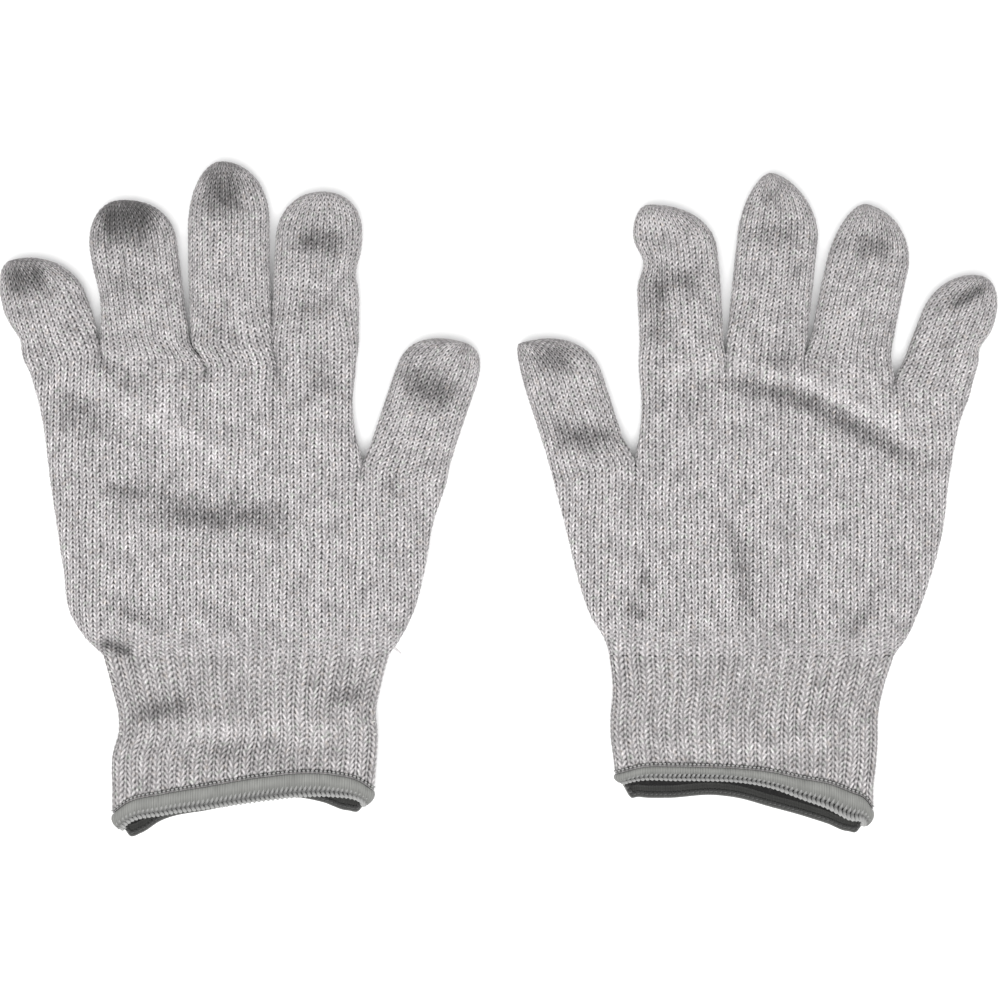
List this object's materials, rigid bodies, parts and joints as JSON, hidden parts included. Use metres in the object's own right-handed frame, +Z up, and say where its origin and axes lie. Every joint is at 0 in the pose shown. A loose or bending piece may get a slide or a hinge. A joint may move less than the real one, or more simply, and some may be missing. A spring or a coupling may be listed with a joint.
{
  "type": "work gloves",
  "caption": "Pair of string-knit work gloves lying flat, hollow, with folding fingers and thumbs, ribbed elastic cuffs and overlocked hems.",
  "frame": {"origin": "bottom centre of the pair, on the surface that both gloves lie on", "axes": "+X across the pair, from the glove with its thumb on the right to the other one; +Y from the cuffs to the fingertips; +Z up from the surface"},
  "size_m": [0.3394, 0.2237, 0.0126],
  "materials": {
    "plain_knit": "heather grey plain knit, matt",
    "rib_knit": "heather grey ribbed knit, matt",
    "elastic_yarn": "covered elastic yarn, matt",
    "rolled_hem": "grey-green overlocked band, matt",
    "sewing_yarn": "grey-green sewing yarn, matt"
  },
  "bodies": {
    "left_hand": {"left_palm": "plain_knit", "left_yarn_tail": "plain_knit"},
    "left_cuff": {"left_cuff": "rib_knit", "left_cuff_elastic": "elastic_yarn", "left_chain_stitch": "sewing_yarn", "left_hem_band": "rolled_hem", "left_overlock_edge": "sewing_yarn"},
    "left_little_finger": {"left_little_finger": "plain_knit"},
    "left_ring_finger": {"left_ring_finger": "plain_knit"},
    "left_middle_finger": {"left_middle_finger": "plain_knit"},
    "left_index_finger": {"left_index_finger": "plain_knit"},
    "left_thumb": {"left_thumb": "plain_knit"},
    "right_hand": {"right_palm": "plain_knit"},
    "right_cuff": {"right_cuff": "rib_knit", "right_cuff_elastic": "elastic_yarn", "right_chain_stitch": "sewing_yarn", "right_hem_band": "rolled_hem", "right_overlock_edge": "sewing_yarn"},
    "right_thumb": {"right_thumb": "plain_knit"},
    "right_index_finger": {"right_index_finger": "plain_knit"},
    "right_middle_finger": {"right_middle_finger": "plain_knit"},
    "right_ring_finger": {"right_ring_finger": "plain_knit"},
    "right_little_finger": {"right_little_finger": "plain_knit"}
  },
  "joints": [
    {"name": "left_cuff_fold", "type": "hinge", "parent": "left_hand", "child": "left_cuff", "pos_m": [-0.08589, -0.05667, 0.00715], "axis": [-1, 0, 0], "range_deg": [0, 60]},
    {"name": "left_little_finger_flex", "type": "hinge", "parent": "left_hand", "child": "left_little_finger", "pos_m": [-0.14829, 0.04313, 0.00715], "axis": [0.9622, 0.2723, 0], "range_deg": [0, 70]},
    {"name": "left_ring_finger_flex", "type": "hinge", "parent": "left_hand", "child": "left_ring_finger", "pos_m": [-0.11989, 0.04893, 0.00715], "axis": [0.9895, 0.1444, 0], "range_deg": [0, 70]},
    {"name": "left_middle_finger_flex", "type": "hinge", "parent": "left_hand", "child": "left_middle_finger", "pos_m": [-0.09019, 0.04213, 0.00715], "axis": [0.9973, 0.0732, 0], "range_deg": [0, 70]},
    {"name": "left_index_finger_flex", "type": "hinge", "parent": "left_hand", "child": "left_index_finger", "pos_m": [-0.06229, 0.04073, 0.00715], "axis": [1, 0.0087, 0], "range_deg": [0, 70]},
    {"name": "left_thumb_flex", "type": "hinge", "parent": "left_hand", "child": "left_thumb", "pos_m": [-0.03209, 0.00453, 0.00715], "axis": [0.9563, -0.2924, 0], "range_deg": [0, 50]},
    {"name": "right_glove_lift", "type": "slide", "parent": "left_hand", "child": "right_hand", "axis": [0, 0, 1], "range_m": [0, 0.06]},
    {"name": "right_cuff_fold", "type": "hinge", "parent": "right_hand", "child": "right_cuff", "pos_m": [0.08691, -0.05667, 0.00715], "axis": [-1, 0, 0], "range_deg": [0, 60]},
    {"name": "right_thumb_flex", "type": "hinge", "parent": "right_hand", "child": "right_thumb", "pos_m": [0.03291, 0.00483, 0.00715], "axis": [0.95, 0.3123, 0], "range_deg": [0, 50]},
    {"name": "right_index_finger_flex", "type": "hinge", "parent": "right_hand", "child": "right_index_finger", "pos_m": [0.06301, 0.04283, 0.00715], "axis": [0.9998, 0.0175, 0], "range_deg": [0, 70]},
    {"name": "right_middle_finger_flex", "type": "hinge", "parent": "right_hand", "child": "right_middle_finger", "pos_m": [0.09151, 0.04533, 0.00715], "axis": [0.9952, -0.0976, 0], "range_deg": [0, 70]},
    {"name": "right_ring_finger_flex", "type": "hinge", "parent": "right_hand", "child": "right_ring_finger", "pos_m": [0.11971, 0.04213, 0.00715], "axis": [0.989, -0.1478, 0], "range_deg": [0, 70]},
    {"name": "right_little_finger_flex", "type": "hinge", "parent": "right_hand", "child": "right_little_finger", "pos_m": [0.14811, 0.03253, 0.00715], "axis": [0.9573, -0.289, 0], "range_deg": [0, 70]}
  ]
}
